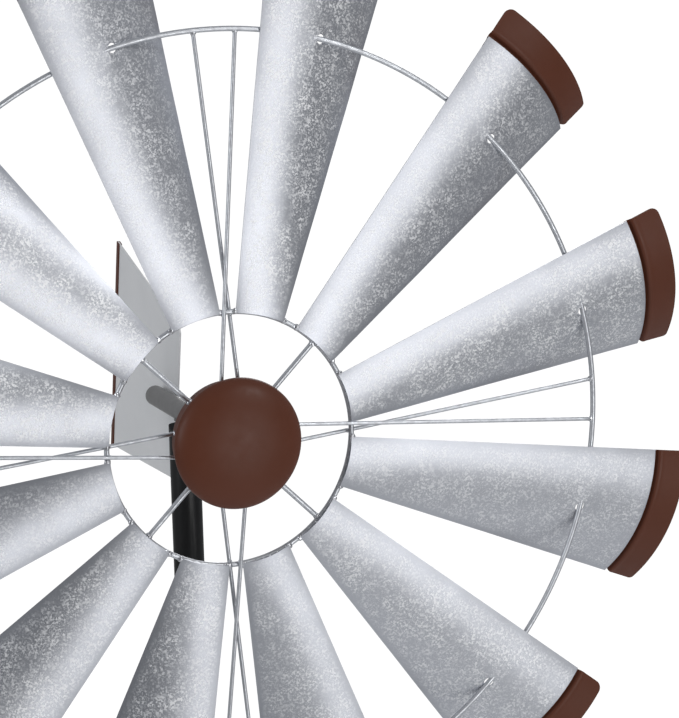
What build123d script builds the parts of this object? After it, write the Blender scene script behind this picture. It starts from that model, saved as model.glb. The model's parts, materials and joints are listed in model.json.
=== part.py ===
"""Kinetic wind sculpture: a twelve-blade farm-windmill wheel with a tail vane on a garden pole.

Millimetres, +Z up. The origin is on the pole's axis at ground level. The wheel faces -Y.
"""
import os
from math import asin, atan2, cos, degrees, hypot, radians, sin

from build123d import *

# ---- where things stand -------------------------------------------------------------
AXLE_Z = 1400.0                 # height of the wheel's axle above the ground
RING_Y = -89.0                  # plane of the inner ring, in front of the pole's axis
FULL_TURN = 360.0

# ---- wheel --------------------------------------------------------------------------
FIRST_BLADE_ANGLE = 15.0        # the gaps between blades stand at 0, 90, 180 and 270 degrees
BLADE_COUNT = 12
WELD_DRIFT = 1.0                # the blades crowd towards one side of the wheel by up to this angle
INNER_RING_R = 75.4
OUTER_RING_R = 238.0
OUTER_RING_SETBACK = 5.4        # the outer ring lies this far behind the inner ring
RING_WIRE_R = 1.6
CROSS_WIRE_R = 1.2
CROSS_HUB_OFFSET = 6.4          # the two wires of a pair start this far either side
CROSS_RING_OFFSET = 12.6        # and cross over to end this far either side
SPOKE_R = 1.6

SHEET = 0.8                     # galvanised sheet of the blades and tips
ROOT_CAMBER = 0.05              # rise of the blade's arc as a share of its chord
TIP_CAMBER = 0.12
BLADE_ROOT_X = 75.0             # station where the root sizes hold
BLADE_TIP_X = 280.0             # station where the tip sizes hold
SHEET_START_X = 60.0            # the sheets are made overlong, then trimmed to their radii
SHEET_END_X = 320.0
ROOT_HALF_CHORD = 15.3
TIP_HALF_CHORD = 42.0
ROOT_DEPTH = -2.0               # both root corners lie on the front of the inner ring
LEADING_TIP_DEPTH = 4.6         # the leading edge runs back only a little
TRAILING_TIP_DEPTH = 30.0       # the trailing edge runs well back, which gives the pitch
BLADE_INNER_R = 74.8
BLADE_OUTER_R = 283.0
TIP_INNER_R = 276.0             # the painted tip laps behind the blade's end
TIP_OUTER_R = 305.0
LAP_GAP = 0.02
WIRE_HOLE_R = 2.4
WIRE_CLEARANCE = 0.1
LEADING_CORNER_R = 5.0
TRAILING_CORNER_R = 2.5

# ---- hub ----------------------------------------------------------------------------
DRUM_R = 34.7
DRUM_WALL = 1.5
DRUM_FRONT = -11.4              # depths are measured back from the inner ring's plane
DRUM_BACK = 5.0
CAP_R = 38.8
CAP_RIM = -12.9
CAP_RISE = 13.1
CAP_SHEET = 1.2
CAP_SKIRT_END = -5.0
BARREL_R = 15.0
BARREL_FRONT = -6.0
BARREL_BACK = 26.0
BEARING_OUTER_R = 11.0
BEARING_WIDTH = 7.0
FRONT_BEARING = -5.0            # front face of each bearing
REAR_BEARING = 18.0
SHOULDER_R = 9.6
AXLE_R = 4.0
RACE_STEP_IN = 6.0              # outside radius of the inner ring
RACE_STEP_OUT = 9.2             # inside radius of the outer ring
BALL_COUNT = 7
BALL_R = 1.95
BALL_PITCH_R = 7.6
RACE_GROOVE_R = 2.0
RUNNING_GAP = 0.04

# ---- axle and boom ------------------------------------------------------------------
WASHER_R = 5.8
WASHER_T = 1.6
BOLT_HEAD_ACROSS = 13.0
BOLT_HEAD_H = 5.3
BOLT_END = 56.0
PLUG_FLANGE_T = 3.4
PLUG_END = 60.0
BOOM_R = 6.35
BOOM_BORE_R = 4.75
BOOM_END = 150.0

# ---- tail vane ----------------------------------------------------------------------
VANE_T = 1.0
VANE_ROLL = 2.0                 # the plate leans a little about the boom
VANE_PITCH = 7.0                # and its centreline rises towards the tail
VANE_NEAR = 120.0               # along the plate's centreline, from the axle's ring plane
VANE_FAR = 257.0
VANE_NEAR_HALF = 49.6
VANE_FAR_HALF = 71.0
VANE_RISE = -16.5               # centreline height where it meets the ring plane
TRIM_WIDTH = 5.0
TRIM_SHEET = 0.7

# ---- head pivot ---------------------------------------------------------------------
STEM_R = 5.0
STEM_LENGTH = 115.0
GROOVE_R = 4.0
RETAINER_BELOW = 60.0           # the retaining screw, below the axle
GROOVE_WIDTH = 7.0
BUSH_TOP = 8.0                  # below the axle
BUSH_FLANGE_T = 1.5
BUSH_LENGTH = 26.0
LOWER_BUSH_TOP = 95.0
LOWER_BUSH_LENGTH = 15.0
THRUST_BALL_R = 4.0
THRUST_GAP = 0.02
THRUST_PLUG_T = 10.0

# ---- pole and stake -----------------------------------------------------------------
POLE_R = 9.5
POLE_BORE_R = 7.95
POLE_BREAKS = (6.0, 470.0, 930.0)
COUPLER_R = 7.9
COUPLER_BORE_R = 6.2
COUPLER_LENGTH = 80.0
SCREW_R = 2.0
SCREW_HEAD_R = 3.6
SCREW_HEAD_H = 2.2
SCREW_INSET = 22.0              # from the pole's joint to its screw
SCREW_TIP_R = 5.6
RETAINER_TIP_R = 4.3            # its tip stands in the stem's groove
STEP_WIDTH = 190.0
STEP_DEPTH = 32.0
STEP_T = 6.0
STEP_CORNER_R = 6.0
SPIGOT_LENGTH = 64.0
PRONG_R = 4.0
PRONG_SPREAD = 60.0             # from the pole's axis to each prong
PRONG_LENGTH = 200.0
PRONG_POINT = 24.0
PRONG_TIP_R = 0.8
PRONG_BEND_R = 16.0

HUB = Vector(0, RING_Y, AXLE_Z)
WHEEL = Plane(origin=HUB, x_dir=(1, 0, 0), z_dir=(0, -1, 0))
AXLE_SECTION = Plane(origin=HUB, x_dir=(1, 0, 0), z_dir=(0, 0, 1))
AXLE_AXIS = Axis(HUB, (0, 1, 0))
REACH = 60.0                    # more than any blade's depth, for the trimming cuts


def save(piece, label):
    """Label a finished piece and write its STEP file."""
    piece.part.label = label
    export_step(piece.part, f"parts/{label}.step")


def turned(points):
    """A solid turned about the axle from (radius, depth) points."""
    with BuildPart() as piece:
        with BuildSketch(AXLE_SECTION):
            with BuildLine():
                Polyline(*points, close=True)
            make_face()
        revolve(axis=AXLE_AXIS, revolution_arc=FULL_TURN)
    return piece


def sleeve(inner, outer, start, end):
    """A plain ring about the axle."""
    return turned([(inner, start), (outer, start), (outer, end), (inner, end)])


def upright(inner, outer, bottom, top):
    """A plain tube or rod standing on the pole's axis."""
    with BuildPart() as piece:
        with BuildSketch(Plane.XY.offset(bottom)):
            Circle(outer)
            if inner > 0:
                Circle(inner, mode=Mode.SUBTRACT)
        extrude(amount=top - bottom)
    return piece


def joined(pieces, cutters=()):
    """Several pieces as one node, less whatever the cutters take away."""
    with BuildPart() as piece:
        for part in pieces:
            add(part.part)
        for cutter in cutters:
            add(cutter.part, mode=Mode.SUBTRACT)
    return piece


def direction(angle):
    """Unit vectors of a wheel angle: outwards, and anticlockwise as seen from the front."""
    turn = radians(angle)
    return Vector(cos(turn), 0, sin(turn)), Vector(-sin(turn), 0, cos(turn))


def wheel_point(angle, outward, sideways, depth):
    """A point of the wheel from a radius, an anticlockwise offset and a depth."""
    out_dir, side_dir = direction(angle)
    return HUB + out_dir * outward + side_dir * sideways + Vector(0, depth, 0)


def ring(radius, depth, wire_r):
    """A wire ring about the axle."""
    with BuildPart() as piece:
        with BuildSketch(AXLE_SECTION):
            with Locations((radius, depth)):
                Circle(wire_r)
        revolve(axis=AXLE_AXIS, revolution_arc=FULL_TURN)
    return piece


def wire_between(start, end, wire_r):
    """A straight wire between two points."""
    with BuildPart() as piece:
        with BuildSketch(Plane(origin=start, z_dir=end - start)):
            Circle(wire_r)
        extrude(amount=(end - start).length)
    return piece


# ---- blades -------------------------------------------------------------------------
def blade_angle(index):
    """A blade's angle, a little off its even place from hand assembly."""
    even = FIRST_BLADE_ANGLE + index * FULL_TURN / BLADE_COUNT
    return even - WELD_DRIFT * cos(radians(even))


def blade_arc(distance):
    """Centre, radius and end angles of the blade's arc at a distance from the axle."""
    share = (distance - BLADE_ROOT_X) / (BLADE_TIP_X - BLADE_ROOT_X)
    half = ROOT_HALF_CHORD + share * (TIP_HALF_CHORD - ROOT_HALF_CHORD)
    leading = Vector(half, -(ROOT_DEPTH + share * (LEADING_TIP_DEPTH - ROOT_DEPTH)))
    trailing = Vector(-half, -(ROOT_DEPTH + share * (TRAILING_TIP_DEPTH - ROOT_DEPTH)))
    run = leading - trailing
    chord = hypot(run.X, run.Y)
    rise = (ROOT_CAMBER + share * (TIP_CAMBER - ROOT_CAMBER)) * chord
    radius = (chord ** 2 / 4 + rise ** 2) / (2 * rise)
    forward = Vector(-run.Y, run.X) / chord
    centre = (leading + trailing) / 2 - forward * (radius - rise)
    start = degrees(atan2(leading.Y - centre.Y, leading.X - centre.X))
    end = degrees(atan2(trailing.Y - centre.Y, trailing.X - centre.X))
    return centre, radius, start, end


def station(angle, distance):
    """A plane square to a blade's length: local x is anticlockwise, local y is forwards."""
    outward, sideways = direction(angle)
    return Plane(origin=HUB + outward * distance, x_dir=sideways, z_dir=outward)


def curved_sheet(angle, inner_r, outer_r, setback):
    """A cambered, twisted sheet between two radii, set back behind the blade's own surface."""
    with BuildPart() as piece:
        for distance in (SHEET_START_X, SHEET_END_X):
            centre, radius, start, end = blade_arc(distance)
            with BuildSketch(station(angle, distance)):
                with BuildLine():
                    front = CenterArc(centre, radius - setback + SHEET / 2, start, end - start)
                    back = CenterArc(centre, radius - setback - SHEET / 2, start, end - start)
                    Line(front @ 0, back @ 0)
                    Line(front @ 1, back @ 1)
                make_face()
        loft(ruled=True)
        with BuildSketch(WHEEL):
            Circle(outer_r)
            Circle(inner_r, mode=Mode.SUBTRACT)
        extrude(amount=REACH, both=True, mode=Mode.INTERSECT)
    return piece


def wire_hole(angle):
    """The round hole in the middle of a blade that the outer ring passes through."""
    centre, radius, start, end = blade_arc(OUTER_RING_R)
    sideways = centre.X + radius * cos(radians((start + end) / 2))
    front = wheel_point(angle, OUTER_RING_R, sideways, -REACH)
    back = wheel_point(angle, OUTER_RING_R, sideways, REACH)
    return wire_between(front, back, WIRE_HOLE_R)


def blade(angle):
    """A galvanised blade, relieved where the outer ring grazes it on its way through."""
    sheet = curved_sheet(angle, BLADE_INNER_R, BLADE_OUTER_R, 0)
    graze = ring(OUTER_RING_R, OUTER_RING_SETBACK, RING_WIRE_R + WIRE_CLEARANCE)
    return joined([sheet], [graze, wire_hole(angle)])


def blade_tip(angle):
    """The painted strip that laps behind the blade's end, with rounded outer corners."""
    sheet = curved_sheet(angle, TIP_INNER_R, TIP_OUTER_R, SHEET + LAP_GAP)
    sideways = direction(angle)[1]
    with BuildPart() as piece:
        add(sheet.part)
        for corner_r, leading in ((LEADING_CORNER_R, True), (TRAILING_CORNER_R, False)):
            short = piece.edges().filter_by(lambda edge: edge.length < 2 * SHEET)
            side = short.filter_by(lambda edge: ((edge.center() - HUB).dot(sideways) > 0) == leading)
            fillet(side.sort_by(lambda edge: (edge.center() - HUB).length)[-1:], corner_r)
    return piece


# ---- wheel frame --------------------------------------------------------------------
def ring_spokes():
    """Four short spokes from the hub drum to the inner ring."""
    spokes = []
    for angle in (45, 135, 225, 315):
        start = wheel_point(angle, DRUM_R - DRUM_WALL, 0, 0)
        spokes.append(wire_between(start, wheel_point(angle, INNER_RING_R, 0, 0), SPOKE_R))
    return joined(spokes, [ring(INNER_RING_R, 0, RING_WIRE_R), drum_block()])


def cross_wires(side):
    """Four long wires that pass the inner ring in front (side -1) or behind (side 1)."""
    pass_depth = side * (RING_WIRE_R + CROSS_WIRE_R)
    slope = (OUTER_RING_SETBACK - pass_depth) / (OUTER_RING_R - INNER_RING_R)
    hub_r = DRUM_R - DRUM_WALL
    hub_depth = pass_depth - slope * (INNER_RING_R - hub_r)
    wires = []
    for angle in (0, 90, 180, 270):
        start = wheel_point(angle, hub_r, -side * CROSS_HUB_OFFSET, hub_depth)
        end = wheel_point(angle, OUTER_RING_R, side * CROSS_RING_OFFSET, OUTER_RING_SETBACK)
        wires.append(wire_between(start, end, CROSS_WIRE_R))
    return joined(wires, [ring(OUTER_RING_R, OUTER_RING_SETBACK, RING_WIRE_R), drum_block()])


# ---- hub ----------------------------------------------------------------------------
def drum_block():
    """The whole space of the hub drum, which spokes and wires stop at."""
    return sleeve(0, DRUM_R, DRUM_FRONT, DRUM_BACK)


def hub_drum():
    """A shallow pressed cup, open to the front, that carries the spokes and wires."""
    inside = DRUM_R - DRUM_WALL
    floor = DRUM_BACK - DRUM_WALL
    return turned([(BARREL_R, floor), (inside, floor), (inside, DRUM_FRONT), (DRUM_R, DRUM_FRONT),
                   (DRUM_R, DRUM_BACK), (BARREL_R, DRUM_BACK)])


def hub_cap():
    """The domed cap, whose skirt pushes into the drum."""
    skirt_out = DRUM_R - DRUM_WALL
    skirt_in = skirt_out - CAP_SHEET
    under = CAP_RIM + CAP_SHEET
    inner_r = CAP_R - CAP_SHEET
    inner_rise = CAP_RISE - CAP_SHEET
    with BuildPart() as piece:
        with BuildSketch(AXLE_SECTION):
            with BuildLine():
                outer = EllipticalCenterArc((0, CAP_RIM), CAP_R, CAP_RISE, -90, arc_size=90)
                inner = EllipticalCenterArc((0, CAP_RIM), inner_r, inner_rise, -90,
                                            arc_size=degrees(asin(skirt_in / inner_r)))
                Polyline(outer @ 1, (CAP_R, under), (skirt_out, under), (skirt_out, CAP_SKIRT_END),
                         (skirt_in, CAP_SKIRT_END), inner @ 1)
                Line(inner @ 0, outer @ 0)
            make_face()
        revolve(axis=AXLE_AXIS, revolution_arc=FULL_TURN)
    return piece


def hub_barrel():
    """The hub's tube, bored for a bearing at each end."""
    front_floor = FRONT_BEARING + BEARING_WIDTH
    return turned([(BEARING_OUTER_R, BARREL_FRONT), (BARREL_R, BARREL_FRONT), (BARREL_R, BARREL_BACK),
                   (BEARING_OUTER_R, BARREL_BACK), (BEARING_OUTER_R, REAR_BEARING),
                   (SHOULDER_R, REAR_BEARING), (SHOULDER_R, front_floor),
                   (BEARING_OUTER_R, front_floor)])


def bearing_ring(inner, outer, start):
    """One ring of a ball bearing, with its half of the ball groove."""
    plain = sleeve(inner, outer, start, start + BEARING_WIDTH)
    groove = ring(BALL_PITCH_R, start + BEARING_WIDTH / 2, RACE_GROOVE_R)
    return joined([plain], [groove])


def bearing_balls(start):
    """The balls of one bearing, evenly spaced."""
    with BuildPart() as piece:
        for index in range(BALL_COUNT):
            angle = index * FULL_TURN / BALL_COUNT
            with Locations(wheel_point(angle, BALL_PITCH_R, 0, start + BEARING_WIDTH / 2)):
                Sphere(BALL_R)
    return piece


# ---- axle and boom ------------------------------------------------------------------
def axle_bolt():
    """The hexagon bolt that clamps both inner rings to the boom."""
    head_back = FRONT_BEARING - WASHER_T
    shank = sleeve(0, AXLE_R, head_back, BOLT_END)
    with BuildPart() as piece:
        with BuildSketch(WHEEL.offset(-head_back)):
            RegularPolygon(BOLT_HEAD_ACROSS / 2, 6, major_radius=False)
        extrude(amount=BOLT_HEAD_H)
        add(shank.part)
    return piece


def axle_washers():
    """A small washer outside each inner ring."""
    rear = REAR_BEARING + BEARING_WIDTH
    return joined([sleeve(AXLE_R, WASHER_R, FRONT_BEARING - WASHER_T, FRONT_BEARING),
                   sleeve(AXLE_R, WASHER_R, rear, rear + WASHER_T)])


def axle_plug():
    """The threaded plug that closes the boom's front end."""
    flange = REAR_BEARING + BEARING_WIDTH + WASHER_T
    shoulder = flange + PLUG_FLANGE_T
    return turned([(AXLE_R, flange), (BOOM_R, flange), (BOOM_R, shoulder), (BOOM_BORE_R, shoulder),
                   (BOOM_BORE_R, PLUG_END), (AXLE_R, PLUG_END)])


def boom_tube():
    """The tail boom, from the axle plug to the middle of the vane."""
    start = REAR_BEARING + BEARING_WIDTH + WASHER_T + PLUG_FLANGE_T
    return sleeve(BOOM_BORE_R, BOOM_R, start, BOOM_END)


def pivot_stem():
    """The rod under the boom that turns in the pole, with a groove for the retaining screw."""
    rod = upright(0, STEM_R, AXLE_Z - STEM_LENGTH, AXLE_Z)
    boom_space = sleeve(0, BOOM_R, 0, BOOM_END)
    low = AXLE_Z - RETAINER_BELOW - GROOVE_WIDTH / 2
    groove = upright(GROOVE_R, STEM_R + PRONG_R, low, low + GROOVE_WIDTH)
    return joined([rod], [boom_space, groove])


# ---- tail vane ----------------------------------------------------------------------
def vane_plane():
    """The plate's mid-plane: local x runs back along the centreline, local y runs up."""
    roll = radians(VANE_ROLL)
    pitch = radians(VANE_PITCH)
    across = Vector(cos(roll), 0, -sin(roll))
    up = Vector(sin(roll), 0, cos(roll))
    along = Vector(0, cos(pitch), 0) + up * sin(pitch)
    return Plane(origin=HUB + across * (BOOM_R + VANE_T / 2), x_dir=along, z_dir=across)


def vane_outline(near, far):
    """Corners of the flared plate between two distances along its centreline."""
    flare = (VANE_FAR_HALF - VANE_NEAR_HALF) / (VANE_FAR - VANE_NEAR)
    near_half = VANE_NEAR_HALF + flare * (near - VANE_NEAR)
    far_half = VANE_NEAR_HALF + flare * (far - VANE_NEAR)
    return [(near, VANE_RISE - near_half), (far, VANE_RISE - far_half),
            (far, VANE_RISE + far_half), (near, VANE_RISE + near_half)]


def vane_slab(near, far, half_thickness):
    """The flared outline between two distances, as a slab either side of the mid-plane."""
    with BuildPart() as piece:
        with BuildSketch(vane_plane()):
            with BuildLine():
                Polyline(*vane_outline(near, far), close=True)
            make_face()
        extrude(amount=half_thickness, both=True)
    return piece


def vane_plate():
    """The flared tail plate, welded to the side of the boom."""
    return vane_slab(VANE_NEAR, VANE_FAR, VANE_T / 2)


def vane_trim():
    """The painted strip folded over the vane's far edge."""
    outside = vane_slab(VANE_FAR - TRIM_WIDTH, VANE_FAR + TRIM_SHEET, VANE_T / 2 + TRIM_SHEET)
    return joined([outside], [vane_slab(VANE_NEAR, VANE_FAR, VANE_T / 2)])


# ---- pole ---------------------------------------------------------------------------
def flanged_bush():
    """The bush in the pole's mouth, on which the head turns."""
    top = AXLE_Z - BUSH_TOP
    flange = upright(STEM_R + RUNNING_GAP, POLE_R, top - BUSH_FLANGE_T, top)
    barrel = upright(STEM_R + RUNNING_GAP, POLE_BORE_R, top - BUSH_LENGTH, top - BUSH_FLANGE_T)
    return joined([flange, barrel])


def lower_bush():
    """A plain bush that steadies the stem's lower end."""
    top = AXLE_Z - LOWER_BUSH_TOP
    return upright(STEM_R + RUNNING_GAP, POLE_BORE_R, top - LOWER_BUSH_LENGTH, top)


def thrust_ball():
    """The steel ball that carries the head's weight."""
    with BuildPart() as piece:
        with Locations((0, 0, AXLE_Z - STEM_LENGTH - THRUST_GAP - THRUST_BALL_R)):
            Sphere(THRUST_BALL_R)
    return piece


def thrust_plug():
    """The plug fixed in the pole under the ball."""
    top = AXLE_Z - STEM_LENGTH - THRUST_GAP - 2 * THRUST_BALL_R
    return upright(0, POLE_BORE_R, top - THRUST_PLUG_T, top)


def screw_heights():
    """Heights of the pole's locking screws, two at each coupler and one at the spigot."""
    lower, middle, upper = POLE_BREAKS
    return [lower + SCREW_INSET, middle - SCREW_INSET, middle + SCREW_INSET,
            upper - SCREW_INSET, upper + SCREW_INSET]


def screw_hole(height, tip_r):
    """The straight hole of a radial screw, from behind the pole to the screw's tip."""
    return wire_between(Vector(0, POLE_R + SCREW_HEAD_R, height), Vector(0, tip_r, height), SCREW_R)


def radial_screw(height, tip_r):
    """A round-head screw that enters the pole from behind."""
    shank = wire_between(Vector(0, POLE_R, height), Vector(0, tip_r, height), SCREW_R)
    with BuildPart() as head:
        with BuildSketch(Plane(origin=(0, POLE_R, height), x_dir=(1, 0, 0), z_dir=(0, 1, 0))):
            Circle(SCREW_HEAD_R)
        extrude(amount=SCREW_HEAD_H)
        fillet(head.edges().sort_by(Axis.Y)[-1], SCREW_HEAD_H / 2)
    return joined([head, shank])


def pole_section(bottom, top, holes):
    """One length of the pole, drilled for its screws."""
    return joined([upright(POLE_BORE_R, POLE_R, bottom, top)], holes)


def coupler(height, holes):
    """The sleeve inside a pole joint."""
    half = COUPLER_LENGTH / 2
    return joined([upright(COUPLER_BORE_R, COUPLER_R, height - half, height + half)], holes)


def step_plate(holes):
    """The step at ground level, with the spigot that the pole stands on."""
    with BuildPart() as piece:
        with BuildSketch():
            RectangleRounded(STEP_WIDTH, STEP_DEPTH, STEP_CORNER_R)
        extrude(amount=STEP_T)
        with BuildSketch(Plane.XY.offset(STEP_T)):
            Circle(COUPLER_R)
        extrude(amount=SPIGOT_LENGTH)
    return joined([piece], holes)


def ground_fork():
    """The bent rod under the step, whose two pointed prongs go into the ground."""
    top = -PRONG_R
    with BuildPart() as piece:
        with BuildLine(Plane.XZ) as route:
            FilletPolyline((-PRONG_SPREAD, PRONG_POINT - PRONG_LENGTH), (-PRONG_SPREAD, top),
                           (PRONG_SPREAD, top), (PRONG_SPREAD, PRONG_POINT - PRONG_LENGTH),
                           radius=PRONG_BEND_R)
        start = Plane(origin=(-PRONG_SPREAD, 0, PRONG_POINT - PRONG_LENGTH), z_dir=(0, 0, 1))
        with BuildSketch(start):
            Circle(PRONG_R)
        sweep(path=route.line)
        for side in (-PRONG_SPREAD, PRONG_SPREAD):
            with Locations((side, 0, PRONG_POINT / 2 - PRONG_LENGTH)):
                Cone(PRONG_TIP_R, PRONG_R, PRONG_POINT)
    return piece


# ---- build and write ----------------------------------------------------------------
def build_root():
    """The stake, pole and fixed half of the swivel."""
    lower, middle, upper = POLE_BREAKS
    pole_top = AXLE_Z - BUSH_TOP - BUSH_FLANGE_T
    retainer_z = AXLE_Z - RETAINER_BELOW
    holes = [screw_hole(height, SCREW_TIP_R) for height in screw_heights()]
    retainer_hole = screw_hole(retainer_z, RETAINER_TIP_R)
    save(ground_fork(), "ground_fork")
    save(step_plate(holes[:1]), "step_plate")
    save(pole_section(lower, middle, holes[:2]), "lower_pole")
    save(pole_section(middle, upper, holes[2:4]), "middle_pole")
    save(pole_section(upper, pole_top, [holes[4], retainer_hole]), "upper_pole")
    save(coupler(middle, holes[1:3]), "lower_coupler")
    save(coupler(upper, holes[3:]), "upper_coupler")
    save(joined([radial_screw(height, SCREW_TIP_R) for height in screw_heights()]), "pole_screws")
    save(radial_screw(retainer_z, RETAINER_TIP_R), "retaining_screw")
    save(flanged_bush(), "upper_bush")
    save(lower_bush(), "lower_bush")
    save(thrust_plug(), "thrust_plug")
    save(thrust_ball(), "thrust_ball")


def build_head():
    """Everything that yaws on the pole but does not spin."""
    save(pivot_stem(), "pivot_stem")
    save(boom_tube(), "boom_tube")
    save(vane_plate(), "vane_plate")
    save(vane_trim(), "vane_edge_trim")
    save(axle_plug(), "axle_plug")
    save(axle_bolt(), "axle_bolt")
    save(axle_washers(), "axle_washers")
    front_floor = FRONT_BEARING + BEARING_WIDTH
    save(sleeve(AXLE_R, WASHER_R, front_floor, REAR_BEARING), "bearing_spacer")
    save(bearing_ring(AXLE_R, RACE_STEP_IN, FRONT_BEARING), "front_bearing_inner_ring")
    save(bearing_ring(AXLE_R, RACE_STEP_IN, REAR_BEARING), "rear_bearing_inner_ring")
    save(bearing_balls(FRONT_BEARING), "front_bearing_balls")
    save(bearing_balls(REAR_BEARING), "rear_bearing_balls")


def build_wheel():
    """Everything that spins with the blades."""
    save(hub_barrel(), "hub_barrel")
    save(hub_drum(), "hub_drum")
    save(hub_cap(), "hub_cap")
    save(bearing_ring(RACE_STEP_OUT, BEARING_OUTER_R, FRONT_BEARING), "front_bearing_outer_ring")
    save(bearing_ring(RACE_STEP_OUT, BEARING_OUTER_R, REAR_BEARING), "rear_bearing_outer_ring")
    save(ring(INNER_RING_R, 0, RING_WIRE_R), "inner_ring")
    save(ring(OUTER_RING_R, OUTER_RING_SETBACK, RING_WIRE_R), "outer_ring")
    save(ring_spokes(), "ring_spokes")
    save(cross_wires(-1), "front_cross_wires")
    save(cross_wires(1), "rear_cross_wires")
    for index in range(BLADE_COUNT):
        save(blade(blade_angle(index)), f"blade_{index + 1:02d}")
        save(blade_tip(blade_angle(index)), f"blade_tip_{index + 1:02d}")


os.makedirs("parts", exist_ok=True)
build_root()
build_head()
build_wheel()
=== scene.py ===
import json
from math import asin, atan2, cos, degrees, exp, pi, radians, sin, sqrt, tan

import bmesh
import bpy
from mathutils import Matrix, Vector, noise


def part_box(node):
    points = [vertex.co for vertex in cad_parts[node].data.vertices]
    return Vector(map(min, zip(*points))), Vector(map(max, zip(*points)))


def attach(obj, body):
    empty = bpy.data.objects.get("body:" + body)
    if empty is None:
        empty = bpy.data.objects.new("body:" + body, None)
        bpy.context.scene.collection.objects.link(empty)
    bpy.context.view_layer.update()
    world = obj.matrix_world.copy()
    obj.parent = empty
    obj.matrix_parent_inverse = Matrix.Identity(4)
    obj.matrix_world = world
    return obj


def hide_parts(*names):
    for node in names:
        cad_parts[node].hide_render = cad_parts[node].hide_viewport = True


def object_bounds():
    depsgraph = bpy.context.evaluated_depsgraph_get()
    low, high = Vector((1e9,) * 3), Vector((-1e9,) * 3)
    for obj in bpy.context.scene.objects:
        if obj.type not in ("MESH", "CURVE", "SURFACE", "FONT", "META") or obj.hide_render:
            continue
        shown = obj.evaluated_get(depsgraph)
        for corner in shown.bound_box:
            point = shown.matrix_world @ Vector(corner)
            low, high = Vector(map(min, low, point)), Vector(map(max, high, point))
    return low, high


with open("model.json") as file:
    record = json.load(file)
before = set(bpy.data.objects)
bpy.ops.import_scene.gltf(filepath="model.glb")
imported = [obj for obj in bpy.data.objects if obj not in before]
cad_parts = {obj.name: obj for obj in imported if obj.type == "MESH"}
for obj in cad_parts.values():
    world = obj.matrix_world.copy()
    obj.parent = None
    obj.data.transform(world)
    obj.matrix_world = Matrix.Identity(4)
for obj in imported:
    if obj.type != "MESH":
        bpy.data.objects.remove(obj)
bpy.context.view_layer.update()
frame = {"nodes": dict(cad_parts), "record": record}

MM = 0.001

# ---- sizes the wheel is built from -----------------------------------------------------------
BLADE_COUNT = 12
WELD_DRIFT = 1.0                # degrees; the blades crowd towards one side by up to this angle
FIRST_BLADE_ANGLE = 15.0
SHEET = 0.8 * MM
ROOT_CAMBER = 0.05              # rise of the blade's arc as a share of its chord
TIP_CAMBER = 0.12
ROOT_X = 75 * MM
TIP_X = 280 * MM
ROOT_HALF_CHORD = 15.3 * MM
TIP_HALF_CHORD = 42 * MM
ROOT_DEPTH = -2 * MM
LEADING_TIP_DEPTH = 4.6 * MM
TRAILING_TIP_DEPTH = 30 * MM
BLADE_INNER_R = 74.8 * MM
BLADE_OUTER_R = 283 * MM
TIP_INNER_R = 276 * MM
TIP_OUTER_R = 305 * MM
LEADING_CORNER_R = 5 * MM
TRAILING_CORNER_R = 2.5 * MM
HOLE_R = 2.9 * MM
HOLE_REACH = 6 * MM             # half the square of sheet that is meshed finely round the hole
CROSS_WIRE_R = 1.2 * MM
CROSS_HUB_OFFSET = 6.4 * MM
CROSS_RING_OFFSET = 12.6 * MM
DRUM_WALL = 1.5 * MM
CAP_RIM = -12.9 * MM
CAP_SHEET = 1.2 * MM
SPOKE_ANGLES = (45, 135, 225, 315)
WIRE_ANGLES = (0, 90, 180, 270)
POLE_WALL = 1.55 * MM
SCREW_R = 2 * MM
SPIGOT_R = 7.9 * MM
STEP_T = 6 * MM
STEP_CORNER_R = 6 * MM
PRONG_BEND_R = 16 * MM
PRONG_POINT = 24 * MM
PRONG_TIP_R = 0.8 * MM


def middle(node):
    """The centre of a CAD node's box."""
    low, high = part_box(node)
    return (Vector(low) + Vector(high)) / 2


def span(node):
    """The size of a CAD node's box."""
    low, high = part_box(node)
    return Vector(high) - Vector(low)


HUB = middle("inner_ring")
RING_WIRE_R = span("inner_ring").y / 2
INNER_RING_R = span("inner_ring").z / 2 - RING_WIRE_R
OUTER_RING_R = span("outer_ring").z / 2 - RING_WIRE_R
OUTER_RING_DEPTH = middle("outer_ring").y - HUB.y
DRUM_R = span("hub_drum").z / 2


# ---- materials -------------------------------------------------------------------------------
RANGE_SOCKETS = ("From Min", "From Max", "To Min", "To Max")


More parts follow.
